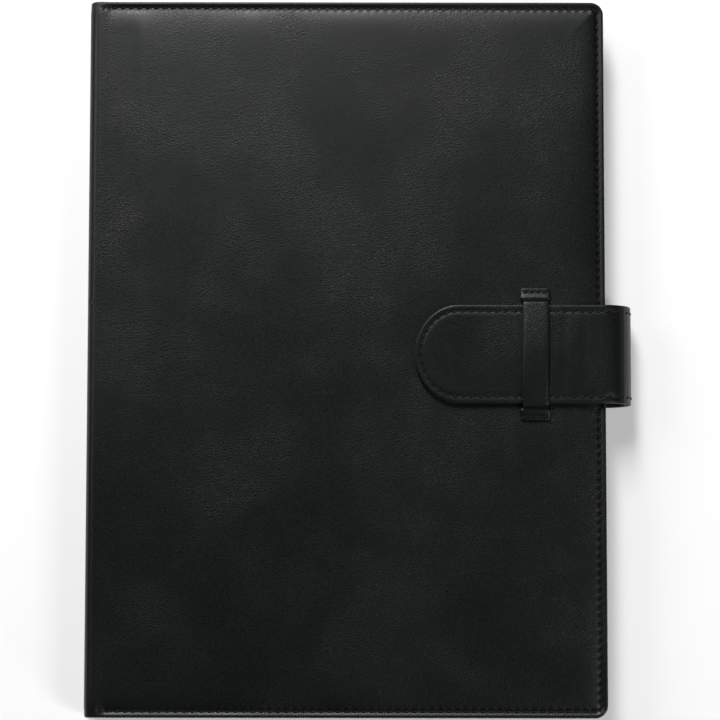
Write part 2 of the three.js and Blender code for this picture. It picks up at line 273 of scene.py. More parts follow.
# Lines of the grid, close together where the shape changes fast
near_edge = [0, 0.00012, 0.0003, 0.0005, EDGE_ROUND]
near_edge += marks([(0.0011, 0.0047, 0.0004), (0.0051, 0.0112, 0.00062)])
hinge_end = panel_start + 0.016
across = marks([(0, half_spine, 0.001), (half_spine, panel_start, 0.0005),
                (panel_start, hinge_end, 0.00075), (hinge_end, wrap_length - 0.012, 0.002)])
across = sorted({round(v, 7) for v in across + [wrap_length - d for d in near_edge]})
ends = near_edge + marks([(0.013, HEAD_Y, 0.002)])
slit = {SLIT_LOW, SLIT_HIGH, strap_low[1] + SLIT_ROOM, strap_high[1] - SLIT_ROOM}
slit |= {y + sign * WALL / 2 for y in (SLIT_LOW, SLIT_HIGH) for sign in (-1, 1)}
along = sorted({round(sign * (HEAD_Y - d), 7) for d in ends for sign in (-1, 1)} | slit)


def wrap_half(name, side):
    """The leather over one panel and half of the spine. side is 1 for the front, -1 for the back."""
    outer, inner, near_seam, seam_run = [], [], [], []
    for run in across:
        for y in along:
            distance, moved_run, moved_y = edge_distance(run, y)
            for depth, rows in ((outer_depth(side, distance, moved_run, moved_y), outer),
                                (inner_depth(side, distance, moved_run, moved_y), inner)):
                x, z = wrap_place(moved_run, depth)
                rows.append((x, moved_y, z if side > 0 else TOP_Z - z))
            sewn = run > panel_start + SEAM_SPINE_INSET - SPINE_RADIUS
            near_seam.append(bump(distance, SEAM_INSET + 0.0004, 0.0008) if sewn else 0.0)
            seam_run.append(moved_run if HEAD_Y - abs(y) < wrap_length - run else moved_y)
    rows, columns = len(across), len(along)
    count = rows * columns
    faces = []

    def at(i, j, layer=0):
        return i * columns + j + layer * count

    for i in range(rows - 1):
        for j in range(columns - 1):
            faces.append((at(i, j), at(i + 1, j), at(i + 1, j + 1), at(i, j + 1)))
            faces.append((at(i, j, 1), at(i, j + 1, 1), at(i + 1, j + 1, 1), at(i + 1, j, 1)))
    rim = [(i, 0) for i in range(rows)] + [(rows - 1, j) for j in range(1, columns)] \
        + [(i, columns - 1) for i in range(rows - 2, -1, -1)] \
        + [(0, j) for j in range(columns - 2, 0, -1)]
    for (a, b), (c, d) in zip(rim, rim[1:] + rim[:1]):
        faces.append((at(a, b), at(a, b, 1), at(c, d, 1), at(c, d)))
    if side < 0:
        faces = [tuple(reversed(f)) for f in faces]
    piece = mesh_object(name, outer + inner, faces, math.radians(50))
    for label, values in (("near_seam", near_seam), ("seam_run", seam_run)):
        attribute = piece.data.attributes.new(label, "FLOAT", "POINT")
        attribute.data.foreach_set("value", np.array(values * 2, np.float32))
    return piece


class Nodes:
    """Short ways to add nodes to one tree and join them. Most take values or sockets and give the
    socket with the result."""

    def __init__(self, tree):
        self.tree = tree

    def add(self, kind, **settings):
        node = self.tree.nodes.new(kind)
        for label, value in settings.items():
            setattr(node, label, value)
        return node

    def join(self, value, socket):
        if isinstance(value, bpy.types.NodeSocket):
            self.tree.links.new(value, socket)
        elif value is not None:
            socket.default_value = value

    def made(self, node, inputs, output=0):
        """A node's output, with its inputs set or joined by name or number."""
        for label, value in inputs.items():
            self.join(value, node.inputs[label])
        return node.outputs[output]

    def math(self, operation, *values):
        node = self.add("ShaderNodeMath", operation=operation)
        return self.made(node, dict(enumerate(values)))

    def spread(self, value, low, high, to_low, to_high):
        return self.made(self.add("ShaderNodeMapRange"), {
            "Value": value, "From Min": low, "From Max": high, "To Min": to_low, "To Max": to_high})

    def noise(self, vector, scale, detail=2, roughness=0.5):
        return self.made(self.add("ShaderNodeTexNoise"), {
            "Vector": vector, "Scale": scale, "Detail": detail, "Roughness": roughness}, "Fac")

    def cells(self, vector, scale, feature="F1"):
        node = self.add("ShaderNodeTexVoronoi", feature=feature)
        return self.made(node, {"Vector": vector, "Scale": scale}, "Distance")

    def mix(self, factor, a, b):
        """Between two colours, which are the node's sockets 6 and 7."""
        node = self.add("ShaderNodeMix", data_type="RGBA")
        return self.made(node, {0: factor, 6: a, 7: b}, 2)

    def attribute(self, name):
        return self.add("ShaderNodeAttribute", attribute_name=name).outputs["Fac"]

    def place(self):
        return self.add("ShaderNodeTexCoord").outputs["Object"]

    def vector(self, operation, a, b):
        return self.made(self.add("ShaderNodeVectorMath", operation=operation), {0: a, 1: b})

    def parts(self, vector):
        node = self.add("ShaderNodeSeparateXYZ")
        self.join(vector, node.inputs[0])
        return node.outputs

    def group(self, nodes, **values):
        node = self.add("ShaderNodeGroup", node_tree=nodes.tree)
        for label, value in values.items():
            self.join(value, node.inputs[label.replace("_", " ")])
        return node.outputs

    def bump(self, height, distance):
        return self.made(self.add("ShaderNodeBump"), {"Distance": distance, "Height": height})


def node_group(name, inputs, outputs, kind="ShaderNodeTree"):
    """An empty group: its nodes, what it is given and where its results go. An input is a label, a
    kind of socket and, where it has one, a value."""
    tree = bpy.data.node_groups.new(name, kind)
    for label, socket_kind, *value in inputs:
        socket = tree.interface.new_socket(label, in_out="INPUT",
                                           socket_type="NodeSocket" + socket_kind)
        if value:
            socket.default_value = value[0]
    for label, socket_kind in outputs:
        tree.interface.new_socket(label, in_out="OUTPUT", socket_type="NodeSocket" + socket_kind)
    nodes = Nodes(tree)
    return nodes, nodes.add("NodeGroupInput").outputs, nodes.add("NodeGroupOutput").inputs


# Natural grain: rounded pebbles parted by fine creases, with slow changes in how strong they are
grain, given, results = node_group(
    "leather grain",
    [("Vector", "Vector"), ("Pebble scale", "Float", 900.0), ("Fine share", "Float", 0.35)],
    [("Height", "Float"), ("Creases", "Float"), ("Patches", "Float")])
warp = grain.math("MULTIPLY", grain.noise(given["Vector"], 260), 0.0012)
offset = grain.made(grain.add("ShaderNodeCombineXYZ"), {0: warp, 1: warp, 2: warp})
warped = grain.vector("ADD", given["Vector"], offset)
pebbles = grain.cells(warped, given["Pebble scale"], "DISTANCE_TO_EDGE")
crease = grain.spread(pebbles, 0.0, 0.3, 0.0, 1.0)
fine = grain.noise(given["Vector"], 2600, 3, 0.6)
patches = grain.noise(given["Vector"], 38, 3)
rise = grain.math("MULTIPLY_ADD", fine, given["Fine share"], crease)
rise = grain.math("MULTIPLY", rise, grain.spread(patches, 0.38, 0.62, 0.15, 1.1))
grain.join(rise, results["Height"])
grain.join(grain.math("SUBTRACT", 1.0, crease), results["Creases"])
grain.join(patches, results["Patches"])

# Puckers: the leather is drawn down at each stitch hole and swells between them
puckers, given, results = node_group(
    "seam puckers",
    [("Near seam", "Float", 0.0), ("Run", "Float", 0.0), ("Pitch", "Float", 0.0026)],
    [("Height", "Float")])
stitch_turns = puckers.math("DIVIDE", given["Run"], given["Pitch"])
wave = puckers.math("COSINE", puckers.math("MULTIPLY", stitch_turns, 2 * math.pi))
puckers.join(puckers.math("MULTIPLY", wave, given["Near seam"]), results["Height"])


def leather(name, colour, light_colour, roughness, gloss, grain_depth, pebble_scale, pucker=0.0):
    """Leather with natural grain, duller in its creases and, where sewn, with puckers."""
    material, shader = new_material(name, roughness)
    n = Nodes(material.node_tree)
    shader.inputs["Specular IOR Level"].default_value = gloss
    looks = n.group(grain, Vector=n.place(), Pebble_scale=pebble_scale)
    patches = looks["Patches"]
    shade = n.mix(n.spread(patches, 0.3, 0.75, 0.0, 1.0), (*colour, 1), (*light_colour, 1))
    n.join(shade, shader.inputs["Base Color"])
    slow = n.spread(patches, 0.3, 0.7, roughness - 0.015, roughness + 0.015)
    n.join(n.math("MULTIPLY_ADD", looks["Creases"], 0.12, slow), shader.inputs["Roughness"])
    rise = looks["Height"]
    if pucker:
        sewn = n.group(puckers, Near_seam=n.attribute("near_seam"), Run=n.attribute("seam_run"),
                       Pitch=STITCH_PITCH)
        rise = n.math("MULTIPLY_ADD", sewn["Height"], pucker, rise)
    n.join(n.bump(rise, grain_depth), shader.inputs["Normal"])
    return material


cover_leather = leather("cover_leather", (0.0014, 0.0029, 0.0023), (0.0022, 0.0038, 0.0031),
                        0.31, 0.36, 0.000028, 1450, pucker=1.6)


def bend_over_hinge(piece, body):
    """Bakes the piece's placement into its mesh."""
    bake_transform(piece)


front_cover = wrap_half("front_cover_leather", 1)
back_cover = wrap_half("back_cover_leather", -1)
for piece, body, node in ((front_cover, "front_panel", "front_leather"),
                          (back_cover, "back_panel", "back_leather")):
    piece.data.materials.append(cover_leather)
    bend_over_hinge(piece, body)
    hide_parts(node)
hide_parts("spine_leather")


# Seams: waxed black thread, saddle-stitched through pricked holes. Each stitch slants a little and
# dips into the leather at both ends. One tree lays a stitch on every marked point of a seam, and
# the panel's seam runs from near the spine along the head, down the fore-edge and back at the tail.

THREAD = 0.00062
STITCH_LENGTH = 0.002
STITCH_SLANT = math.radians(16)
STITCH_WOBBLE = 0.05           # radians that one stitch may slant more or less than the next

thread_material, shader = new_material("waxed_thread", 0.5)
shader.inputs["Specular IOR Level"].default_value = 0.2
n = Nodes(thread_material.node_tree)
strands = n.noise(n.place(), 3400)
n.join(n.mix(strands, (0.0015, 0.0019, 0.0018, 1), (0.006, 0.0068, 0.0065, 1)),
       shader.inputs["Base Color"])
n.join(n.bump(strands, 0.00008), shader.inputs["Normal"])

# A bowed length of thread, laid on each point of a seam
stitches, given, results = node_group(
    "stitches",
    [("Points", "Geometry"), ("Length", "Float", STITCH_LENGTH), ("Thread", "Float", THREAD),
     ("Slant", "Float", STITCH_SLANT), ("Seed", "Int", 1), ("Material", "Material")],
    [("Stitches", "Geometry")], "GeometryNodeTree")
bow_ends = {"Resolution": 6}
for label, along_share, up_share in (("Start", -0.5, -0.55), ("Middle", 0, 0.95),
                                     ("End", 0.5, -0.55)):
    bow_ends[label] = stitches.made(stitches.add("ShaderNodeCombineXYZ"), {
        0: stitches.math("MULTIPLY", given["Length"], along_share),
        2: stitches.math("MULTIPLY", given["Thread"], up_share)})
bow = stitches.made(stitches.add("GeometryNodeCurveQuadraticBezier"), bow_ends)
ring = stitches.made(stitches.add("GeometryNodeCurvePrimitiveCircle"), {
    "Resolution": 8, "Radius": stitches.math("MULTIPLY", given["Thread"], 0.5)})
tube = stitches.made(stitches.add("GeometryNodeCurveToMesh"), {
    "Curve": bow, "Profile Curve": ring, "Fill Caps": True})
ways = {}
for label in ("forward", "outward"):
    ways[label] = stitches.made(
        stitches.add("GeometryNodeInputNamedAttribute", data_type="FLOAT_VECTOR"),
        {"Name": label}, "Attribute")
forward = stitches.made(stitches.add("FunctionNodeAlignRotationToVector", axis="X"),
                        {"Vector": ways["forward"]})
upright = stitches.made(
    stitches.add("FunctionNodeAlignRotationToVector", axis="Z", pivot_axis="X"),
    {"Rotation": forward, "Vector": ways["outward"]})
wobble = stitches.made(stitches.add("FunctionNodeRandomValue", data_type="FLOAT"), {
    2: -STITCH_WOBBLE, 3: STITCH_WOBBLE, "Seed": given["Seed"]}, 1)
slant = stitches.made(stitches.add("ShaderNodeCombineXYZ"), {
    2: stitches.math("ADD", given["Slant"], wobble)})
slant = stitches.made(stitches.add("FunctionNodeEulerToRotation"), {0: slant})
turned = stitches.made(stitches.add("FunctionNodeRotateRotation", rotation_space="LOCAL"),
                       {0: upright, 1: slant})
laid = stitches.made(stitches.add("GeometryNodeInstanceOnPoints"), {
    "Points": given["Points"], "Instance": tube, "Rotation": turned})
laid = stitches.made(stitches.add("GeometryNodeRealizeInstances"), {0: laid})
laid = stitches.made(stitches.add("GeometryNodeSetShadeSmooth"), {0: laid})
laid = stitches.made(stitches.add("GeometryNodeSetMaterial"), {
    "Geometry": laid, "Material": given["Material"]})
stitches.join(laid, results[0])


def grown(name, source, nodes, **values):
    """The plain mesh that a group makes from a mesh, with the group's named inputs set."""
    seed = bpy.data.objects.new(name + "_seed", source)
    bpy.context.scene.collection.objects.link(seed)
    modifier = seed.modifiers.new("grow", "NODES")
    modifier.node_group = nodes.tree
    for item in nodes.tree.interface.items_tree:
        if item.item_type == "SOCKET" and item.in_out == "INPUT" and item.name in values:
            modifier[item.identifier] = values[item.name]
    bpy.context.view_layer.update()
    depsgraph = bpy.context.evaluated_depsgraph_get()
    mesh = bpy.data.meshes.new_from_object(seed.evaluated_get(depsgraph))
    mesh.name = name
    bpy.data.objects.remove(seed)
    piece = bpy.data.objects.new(name, mesh)
    bpy.context.scene.collection.objects.link(piece)
    return piece


def stitched(name, points, seed=1):
    """Stitches on points given as (place, forward, outward)."""
    source = bpy.data.meshes.new(name + "_points")
    source.from_pydata([p[0] for p in points], [], [])
    for label, index in (("forward", 1), ("outward", 2)):
        attribute = source.attributes.new(label, "FLOAT_VECTOR", "POINT")
        attribute.data.foreach_set("vector", np.array([p[index] for p in points]).ravel())
    piece = grown(name, source, stitches, Seed=seed, Material=thread_material)
    return piece


def spaced(path, pitch=STITCH_PITCH):
    """Points at an even pitch along a polyline, as (place, forward)."""
    path = np.array(path, float)
    steps = np.linalg.norm(np.diff(path, axis=0), axis=1)
    runs = np.concatenate([[0], np.cumsum(steps)])
    count = max(round(runs[-1] / pitch), 1)
    out = []
    for k in range(count):
        run = (k + 0.5) * runs[-1] / count
        i = min(int(np.searchsorted(runs, run, side="right")) - 1, len(steps) - 1)
        share = (run - runs[i]) / steps[i]
        out.append((path[i] + (path[i + 1] - path[i]) * share,
                    (path[i + 1] - path[i]) / steps[i]))
    return out


def panel_seam(inset, start_x):
    """A panel's seam in plan: along the head, down the fore-edge and back along the tail."""
    radius = max(CORNER_RADIUS - inset, 0.001)
    x, y = FORE_X - inset - radius, HEAD_Y - inset - radius
    corner = [(radius * math.cos(a), radius * math.sin(a))
              for a in np.linspace(math.pi / 2, 0, 9)]
    return [(start_x, HEAD_Y - inset)] + [(x + u, y + v) for u, v in corner] \
        + [(x + u, -y - v) for u, v in reversed(corner)] + [(start_x, -HEAD_Y + inset)]


seam_depth = MARGIN_DROP + 0.00012   # of the stitches' middle below the panel's face
seam_start = SPINE_X + SEAM_SPINE_INSET
for name, body, node, height, up in (
        ("front_edge_stitches", "front_panel", "front_edge_thread", TOP_Z - seam_depth, 1),
        ("back_edge_stitches", "back_panel", "back_edge_thread", seam_depth, -1)):
    flat = [(x, y, height) for x, y in panel_seam(SEAM_INSET, seam_start)]
    piece = stitched(name, [(p, f, (0, 0, up)) for p, f in spaced(flat)])
    bend_over_hinge(piece, body)
    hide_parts(node)


# Strap: two plies of leather sewn together round the edge. Its cut edge is a lighter grey: partly
# its burnished finish, partly a painted highlight for the light line the edge catches. It comes out
# of the back panel, makes a half turn round the fore-edge and ends in a rounded tongue on the front.
# It is made in four lengths, which share the half turn between them.

tongue_low, tongue_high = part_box("strap_tongue_leather")
STRAP_HALF = (strap_high[1] - strap_low[1]) / 2
STRAP_Y = (strap_high[1] + strap_low[1]) / 2
BEND_OUTER = (tongue_high[2] - strap_low[2]) / 2
BEND_Z = (tongue_high[2] + strap_low[2]) / 2
BEND_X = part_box("strap_bend_2_leather")[1][0] - BEND_OUTER
STRAP_THICK = tongue_high[2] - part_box("strap_tongue_lining")[0][2]
BEND_MIDDLE = BEND_OUTER - STRAP_THICK / 2
TIP_X = tongue_low[0]
TIP_LENGTH = 0.0138
STRAP_SEAM = 0.0021
STRAP_STEP = 0.0011
TIP_STATIONS = 33
flat_length = BEND_X - TIP_X
bend_length = math.pi * BEND_MIDDLE
tail_length = BEND_X - strap_low[0]
strap_length = flat_length + bend_length + tail_length


def strap_place(run, side, rise):
    """A point of the strap: its run from the tongue's tip, its place across, its height outwards."""
    if run < flat_length:
        return Vector((TIP_X + run, STRAP_Y + side, BEND_Z + BEND_MIDDLE + rise))
    if run < flat_length + bend_length:
        angle = (run - flat_length) / BEND_MIDDLE
        reach = BEND_MIDDLE + rise
        return Vector((BEND_X + reach * math.sin(angle), STRAP_Y + side,
                       BEND_Z + reach * math.cos(angle)))
    return Vector((BEND_X - (run - flat_length - bend_length), STRAP_Y + side,
                   BEND_Z - BEND_MIDDLE - rise))


# Distance in from the edge, and height from the strap's middle in millimetres, from the top round
# to the lining
strap_section = [(STRAP_HALF, 1.14), (0.0120, 1.14), (0.0090, 1.14), (0.0065, 1.13), (0.0050, 1.12),
                 (0.0040, 1.12), (0.0033, 1.10), (0.0028, 1.07), (0.0024, 1.0), (0.0021, 0.95),
                 (0.0018, 0.98), (0.0014, 1.03), (0.0008, 1.04), (0.0003, 1.02), (0.00012, 0.94),
                 (0.00003, 0.75), (0.0, 0.4), (0.00004, 0.16), (0.0002, 0.0), (0.00005, -0.14),
                 (0.0, -0.4), (0.00005, -0.68), (0.00022, -0.92), (0.0005, -1.08), (0.0010, -1.13),
                 (0.0040, -1.14), (0.0090, -1.14), (STRAP_HALF, -1.14)]
strap_section = [(d, rise * 0.001) for d, rise in strap_section]
EDGE_LEVELS = (15, 22)         # the section's levels at which the cut edge and the underside begin
WEAR_SWELL = 0.00006
CREASES = ((0.0462, 0.0006, 0.00017), (0.0525, 0.0008, 0.00012))   # place, width and depth


def finish_at(level):
    """0 for the grain side, 1 for the cut edge, 2 for the underside, from a level of the section."""
    return (level >= EDGE_LEVELS[0]) + (level >= EDGE_LEVELS[1])


def strap_relief(run, side, rise):
    """Height with the creases that wear has left across the strap."""
    if rise < 0.0008:
        return rise
    wave = WEAR_SWELL * (noise.noise(Vector((run * 110, side * 60, 3.1))) - 0.5)
    bowed, slanted = run + 0.02 * side * side / STRAP_HALF, run - 0.03 * side
    crease = sum(depth * bump(line, place, width)
                 for line, (place, width, depth) in zip((bowed, slanted), CREASES))
    middle = smooth(0, 0.006, STRAP_HALF - abs(side))
    return rise + (wave - crease) * middle


def ring_faces(rows, levels):
    """Faces of a closed tube of rows with as many points as levels, and of its two ends."""
    faces = [(k * levels + j, k * levels + (j + 1) % levels,
              (k + 1) * levels + (j + 1) % levels, (k + 1) * levels + j)
             for k in range(rows - 1) for j in range(levels)]
    return faces + [tuple(range(levels - 1, -1, -1)),
                    tuple(range((rows - 1) * levels, rows * levels))]


def finish_mesh(piece, smooth_angle, merge=0.0):
    """Drops loose points, merges close ones, turns the faces outwards and smooths flat edges."""
    shell = bmesh.new()
    shell.from_mesh(piece.data)
    loose = [v for v in shell.verts if not v.link_faces]
    bmesh.ops.delete(shell, geom=loose, context="VERTS")
    if merge:
        bmesh.ops.remove_doubles(shell, verts=shell.verts, dist=merge)
    bmesh.ops.recalc_face_normals(shell, faces=shell.faces)
    shell.to_mesh(piece.data)
    shell.free()
    piece.data.shade_smooth()
    piece.data.set_sharp_from_angle(angle=smooth_angle)
    return piece


def tongue_mesh(stations):
    """Points, faces and finishes of the tongue: one side, round the tip and back up the other."""
    sides = [s for s in stations if s > TIP_LENGTH + STRAP_STEP / 3]
    places = [(run, 1, None) for run in reversed(sides)]
    places += [(None, 0, angle) for angle in np.linspace(math.pi / 2, -math.pi / 2, TIP_STATIONS)]
    places += [(run, -1, None) for run in sides]
    points = []
    for straight, sign, angle in places:
        for inset, rise in strap_section:
            if angle is None:
                run, side = straight, sign * (STRAP_HALF - inset)
            else:
                share = 1 - inset / STRAP_HALF
                run = TIP_LENGTH - TIP_LENGTH * share * math.cos(angle)
                side = (STRAP_HALF - inset) * math.sin(angle)
            points.append(strap_place(run, side, strap_relief(run, side, rise)))
    levels = len(strap_section)
    faces = [(k * levels + j, k * levels + j + 1, (k + 1) * levels + j + 1, (k + 1) * levels + j)
             for k in range(len(places) - 1) for j in range(levels - 1)]
    end = (len(places) - 1) * levels
    faces.append(tuple(range(levels - 1, -1, -1)) + tuple(range(end + 1, end + levels - 1)))
    return points, faces, [finish_at(j) for _ in places[1:] for j in range(levels - 1)] + [1]


def length_mesh(stations):
    """Points, faces and finishes of a length of the strap that is cut straight at both ends."""
    loop = [(STRAP_HALF - inset, rise) for inset, rise in strap_section[:-1]]
    loop += [(inset - STRAP_HALF, rise) for inset, rise in reversed(strap_section[1:])]
    levels = len(loop)
    points = [strap_place(run, side, strap_relief(run, side, rise))
              for run in stations for side, rise in loop]
    finishes = [finish_at(min(j, levels - 1 - j)) for _ in stations[1:] for j in range(levels)]
    return points, ring_faces(len(stations), levels), finishes + [1, 1]


def strap_piece(name, first, last, tip):
    """A length of the strap between two runs. With tip, it starts with the rounded tongue end."""
    count = max(round((last - first) / STRAP_STEP), 2) + 1
    stations = list(np.linspace(first, last, count))
    points, faces, finishes = tongue_mesh(stations) if tip else length_mesh(stations)
    piece = mesh_object(name, points, faces)
    for polygon, finish in zip(piece.data.polygons, finishes):
        polygon.material_index = finish
    return finish_mesh(piece, math.radians(60), 1e-6)


# Flesh side of the leather: colour, pale colour, roughness, gloss, grain depth and pebble scale
FLESH = ((0.007, 0.0068, 0.0066), (0.014, 0.0135, 0.013), 0.65, 0.4, 0.00006, 800)
strap_leather = leather("strap_leather", (0.0012, 0.0030, 0.0023), (0.0020, 0.0040, 0.0032),
                        0.31, 0.34, 0.000028, 1450)
# The cut edge's lighter grey is partly its burnished finish and partly a painted highlight: it
# stands in for the light line that the edge catches.
strap_edge_burnish_and_highlight = leather("strap_cut_edge_burnish_and_highlight", (0.010, 0.0105, 0.010), (0.022, 0.023, 0.022),
                     0.55, 0.4, 0.00004, 2200)
strap_flesh = leather("strap_underside", *FLESH)
BENDS = 4                      # hinge lines that the half turn is shared between
quarter = bend_length / BENDS
cuts = [0] + [flat_length + k * quarter for k in range(1, BENDS)] + [strap_length]
strap_nodes = [("strap_tongue_leather", "strap_tongue_lining"),
               ("strap_bend_3_leather", "strap_bend_3_lining"),
               ("strap_bend_2_leather", "strap_bend_2_lining"),
               ("strap_bend_1_leather", "strap_bend_1_lining", "strap_anchor_leather",
                "strap_anchor_lining")]


def bend_strap(piece):
    """Bakes a piece of the strap's placement into its mesh."""
    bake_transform(piece)


for k in range(BENDS):
    piece = strap_piece(f"strap_length_{k + 1}", cuts[k], cuts[k + 1], tip=k == 0)
    for material in (strap_leather, strap_edge_burnish_and_highlight, strap_flesh):
        piece.data.materials.append(material)
    bend_strap(piece)
    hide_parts(*strap_nodes[k])

# The strap's seam: along both edges and round the tip, with a box seam through its tail
STRAP_SEAM_RISE = 0.00093
SEAM_STEP = 0.0004
TIP_SEAM_STEPS = 90


def strap_seam():
    """The strap's seam as (run, side): down one edge, round the tip and back up the other."""
    tip = TIP_LENGTH - STRAP_SEAM * TIP_LENGTH / STRAP_HALF
    side = STRAP_HALF - STRAP_SEAM
    end = strap_length - tail_length + 0.001
    edge = [(run, side) for run in np.arange(end, TIP_LENGTH, -SEAM_STEP)]
    angles = np.linspace(math.pi / 2, -math.pi / 2, TIP_SEAM_STEPS)
    return edge + [(TIP_LENGTH - tip * math.cos(a), side * math.sin(a)) for a in angles] \
        + [(run, -side) for run, _ in reversed(edge)]


lengths = [[] for _ in range(BENDS)]
seam_line = [strap_place(run, side, STRAP_SEAM_RISE) for run, side in strap_seam()]
for place, forward in spaced(seam_line):
    if place[0] < BEND_X:
        outward = Vector((0, 0, 1 if place[2] > BEND_Z else -1))
        angle = 0 if place[2] > BEND_Z else math.pi
    else:
        outward = Vector((place[0] - BEND_X, 0, place[2] - BEND_Z)).normalized()
        angle = math.atan2(outward.x, outward.z)
    lengths[min(int(angle / (math.pi / BENDS)), BENDS - 1)].append((place, forward, outward))
for k, points in enumerate(lengths):
    piece = stitched(f"strap_stitches_{k + 1}", points, seed=k + 5)
    bend_strap(piece)
    if k == 0:
        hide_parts("strap_tongue_thread")

box_low, box_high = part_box("strap_anchor_thread")
BOX_Z = 0.00044                # the thread stays clear of the table
corners = [(box_low[0], box_low[1], BOX_Z), (box_high[0], box_low[1], BOX_Z),
           (box_high[0], box_high[1], BOX_Z), (box_low[0], box_high[1], BOX_Z)]
box_points = []
for start, end in zip(corners, corners[1:] + corners[:1]):
    box_points += [(p, f, (0, 0, -1)) for p, f in spaced([start, end])]
piece = stitched("strap_anchor_stitches", box_points, seed=11)
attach(piece, "back_panel")
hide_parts("strap_anchor_thread")


# Keeper loop: a narrow band of the same leather over the strap. Its ends flare into small tabs,
# each sewn down on the front panel with one short row of stitches.

keeper_low, keeper_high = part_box("keeper_loop")
KEEPER_X = (keeper_low[0] + keeper_high[0]) / 2
KEEPER_BAND = 0.0012
KEEPER_WIDTH = 0.0081
KEEPER_SEAM = 0.0011
KEEPER_PITCH = 0.0022
KEEPER_TAB_WIDTH = keeper_high[0] - keeper_low[0]
KEEPER_HALF = (keeper_high[1] - keeper_low[1]) / 2
KEEPER_Y = (keeper_high[1] + keeper_low[1]) / 2
keeper_top = keeper_high[2] - KEEPER_BAND / 2 - 0.0002
keeper_foot = TOP_Z + 0.00012 + KEEPER_BAND / 2
rise_start = STRAP_HALF + 0.0017
rise_end = STRAP_HALF + 0.0001
KEEPER_TAB_RISE = 0.0006
KEEPER_CROWN = 0.0007          # the band arches a little over the strap
KEEPER_END_ROUND = 0.0009
KEEPER_SIDES = 10              # points in each quarter of the band's section


def keeper_middle(offset):
    """Height of the band's middle at a distance from the strap's middle line."""
    reach = abs(offset)
    crown = KEEPER_CROWN * (1 - (offset / STRAP_HALF) ** 2) if reach < STRAP_HALF else 0
    slope = KEEPER_TAB_RISE * (1 - smooth(rise_start - 0.0004, KEEPER_HALF - 0.0006, reach))
    lip = -0.0003 * bump(reach, rise_start, 0.00018)
    share = 1 - smooth(rise_end, rise_start, reach)
    return keeper_foot + slope + lip + (keeper_top - keeper_foot - KEEPER_TAB_RISE) * share + crown


def keeper_band():
    """The band, swept over the strap from the tail's tab to the head's."""
    section = []
    for k in range(4 * KEEPER_SIDES):
        a = 2 * math.pi * (k + 0.5) / (4 * KEEPER_SIDES)
        c, s = math.cos(a), math.sin(a)
        section.append((math.copysign(abs(c) ** 0.28, c), math.copysign(abs(s) ** 0.5, s)))
    offsets = marks([(-KEEPER_HALF, -rise_start - 0.0004, 0.0004),
                     (-rise_start - 0.0004, -rise_end + 0.0008, 0.00014),
                     (-rise_end + 0.0008, rise_end - 0.0008, 0.0007),
                     (rise_end - 0.0008, rise_start + 0.0004, 0.00014),
                     (rise_start + 0.0004, KEEPER_HALF, 0.0004)])
    points = []
    for offset in offsets:
        here = keeper_middle(offset)
        slope = (keeper_middle(offset + 1e-5) - keeper_middle(offset - 1e-5)) / 2e-5
        normal = Vector((0, -slope, 1)).normalized()
        from_end = KEEPER_HALF - abs(offset)
        beyond = max(KEEPER_END_ROUND - from_end, 0) / KEEPER_END_ROUND
        round_end = math.sqrt(max(1 - beyond ** 2, 0.02))
        flare = smooth(rise_start - 0.0002, rise_start + 0.0002, abs(offset))
        wide = KEEPER_WIDTH + (KEEPER_TAB_WIDTH - KEEPER_WIDTH) * flare
        wide -= KEEPER_END_ROUND * (1 - round_end)
        pared = 1 - 0.2 * smooth(rise_start, KEEPER_HALF, abs(offset))
        thin = KEEPER_BAND * pared * (0.55 + 0.45 * round_end)
        seam = GROOVE_DEPTH * bump(abs(offset), KEEPER_HALF - KEEPER_SEAM, GROOVE_WIDTH)
        middle = Vector((KEEPER_X + 0.00012 * math.sin(offset * 140), KEEPER_Y + offset, here))
        for u, v in section:
            lift = v * thin / 2 - (seam if v > 0 else 0)
            points.append(middle + Vector((u * wide / 2, 0, 0)) + normal * lift)
    piece = mesh_object("keeper_band", points, ring_faces(len(offsets), len(section)))
    return finish_mesh(piece, math.radians(55))


keeper = keeper_band()
keeper.data.materials.append(strap_leather)
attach(keeper, "front_panel")
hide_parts("keeper_loop")

for end, node in ((1, "keeper_head_thread"), (-1, "keeper_tail_thread")):
    low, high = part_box(node)
    offset = end * (KEEPER_HALF - KEEPER_SEAM)
    z = keeper_middle(offset) + KEEPER_BAND / 2 - 0.00028
    row = spaced([(low[0] - 0.0004, KEEPER_Y + offset, z),
                  (high[0] + 0.0004, KEEPER_Y + offset, z)], KEEPER_PITCH)
    piece = stitched(node.replace("thread", "stitches"), [(p, f, (0, 0, 1)) for p, f in row], 13)
    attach(piece, "front_panel")
    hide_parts(node)


# Foam: a thin sheet glued under each panel's leather, skived along its edges and puffed up a little
# in the middle. At the back it is cut away where the strap's tail is let in.

FOAM_SKIVE = 0.0035
FOAM_SWELL = 0.00018
FOAM_STEP = 0.0009             # of the grid along the skived edges


def layered(name, x_marks, y_marks, face, under, keep=None):
    """A closed sheet over a grid: face and under give two points for each x and y. Only the cells
    that keep says yes to are made."""
    rows, columns = len(x_marks), len(y_marks)
    points = [face(x, y) for x in x_marks for y in y_marks]
    points += [under(x, y) for x in x_marks for y in y_marks]
    shift = rows * columns
    kept = {(i, j) for i in range(rows - 1) for j in range(columns - 1)
            if keep is None or keep((x_marks[i] + x_marks[i + 1]) / 2,
                                    (y_marks[j] + y_marks[j + 1]) / 2)}
    faces = []
    for i, j in sorted(kept):
        a, b = i * columns + j, (i + 1) * columns + j
        faces += [(a, b, b + 1, a + 1), (a + shift, a + 1 + shift, b + 1 + shift, b + shift)]
        for beside, (c, d) in (((i - 1, j), (a + 1, a)), ((i + 1, j), (b, b + 1)),
                               ((i, j - 1), (a, b)), ((i, j + 1), (b + 1, a + 1))):
            if beside not in kept:
                faces.append((c, c + shift, d + shift, d))
    return finish_mesh(mesh_object(name, points, faces), math.radians(45))


def height(side, depth):
    """Z of a depth below the outer face of the front (side 1) or back (side -1) panel."""
    return TOP_Z - depth if side > 0 else depth


